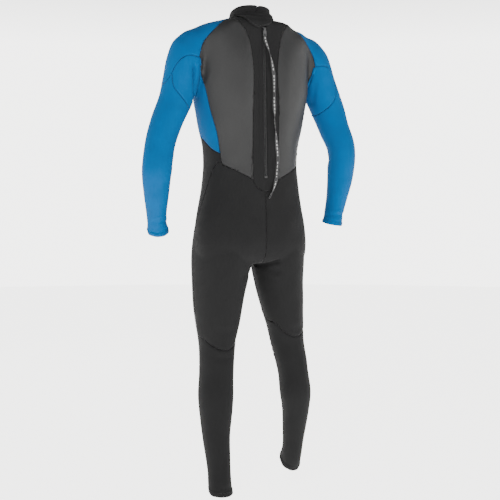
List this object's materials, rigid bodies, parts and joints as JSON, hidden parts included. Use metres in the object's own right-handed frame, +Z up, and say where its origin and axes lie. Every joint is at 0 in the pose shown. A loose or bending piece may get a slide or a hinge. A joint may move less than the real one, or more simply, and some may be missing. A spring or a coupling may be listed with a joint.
{
  "type": "full wetsuit",
  "caption": "Full-length neoprene wetsuit with long sleeves, a back zip with a hanging leash, a neck flap and grey and blue panels.",
  "frame": {"origin": "centre of the neck opening, on the neck's axis 18 mm below the collar's top edge", "axes": "+Z up along the body through the neck opening, -Y to the wearer's front (chest), +Y to the back (zip), +X to the wearer's left"},
  "size_m": [0.6607, 0.2229, 1.3938],
  "materials": {
    "knit_charcoal": "matt knit facing over closed-cell rubber",
    "smooth_skin_grey": "soft satin, fine mesh grain",
    "knit_blue": "matt knit facing over closed-cell rubber",
    "knee_rubber": "matt, fine embossed grid",
    "hook_and_loop": "matt pile",
    "zip_tape": "matt twill",
    "zip_teeth": "satin",
    "zip_metal": "satin enamel",
    "zip_pull": "satin",
    "webbing": "woven, pale broken stripe"
  },
  "bodies": {
    "suit": {"collar": "knit_charcoal", "collar_loop_patch": "hook_and_loop", "centre_back_panel": "knit_charcoal", "back_panel_left": "smooth_skin_grey", "back_panel_right": "smooth_skin_grey", "chest_panel": "smooth_skin_grey", "shoulder_left": "knit_blue", "shoulder_right": "knit_blue", "sleeve_left": "knit_blue", "sleeve_right": "knit_blue", "gusset_left": "knit_blue", "gusset_right": "knit_blue", "side_panel_left": "knit_blue", "side_panel_right": "knit_blue", "abdomen_panel": "knit_charcoal", "seat_left": "knit_charcoal", "seat_right": "knit_charcoal", "thigh_front_left": "knit_charcoal", "thigh_front_right": "knit_charcoal", "knee_pad_left": "knee_rubber", "knee_pad_right": "knee_rubber", "shin_left": "knit_charcoal", "shin_right": "knit_charcoal", "calf_left": "knit_charcoal", "calf_right": "knit_charcoal", "wrist_hem_left": "knit_blue", "wrist_hem_right": "knit_blue", "ankle_hem_left": "knit_charcoal", "ankle_hem_right": "knit_charcoal", "zip_tape_left": "zip_tape", "zip_tape_right": "zip_tape", "zip_teeth_left": "zip_teeth", "zip_teeth_right": "zip_teeth", "zip_top_stops": "zip_teeth", "zip_bottom_stop": "zip_teeth", "zip_backing": "knit_charcoal"},
    "slider": {"zip_slider": "zip_metal"},
    "pull": {"zip_pull": "zip_pull"},
    "leash": {"zip_leash": "webbing"},
    "flap": {"collar_flap": "knit_charcoal", "collar_hook_patch": "hook_and_loop"}
  },
  "joints": [
    {"name": "zip_slide", "type": "slide", "parent": "suit", "child": "slider", "axis": [0, 0.0329, -0.9995], "range_m": [0, 0.4]},
    {"name": "pull_hinge", "type": "hinge", "parent": "slider", "child": "pull", "pos_m": [0, 0.09436, -0.05489], "axis": [1, 0, 0], "range_deg": [0, 110]},
    {"name": "leash_hinge", "type": "hinge", "parent": "pull", "child": "leash", "pos_m": [0, 0.0962, -0.0784], "axis": [1, 0, 0], "range_deg": [-110, 0]},
    {"name": "flap_hinge", "type": "hinge", "parent": "suit", "child": "flap", "pos_m": [-0.052, 0.0335, 0.018], "axis": [0, -0.4009, 0.9161], "range_deg": [0, 70]}
  ],
  "couplings": [
    {"joint": "leash_hinge", "follows": "pull_hinge", "ratio": -1}
  ]
}
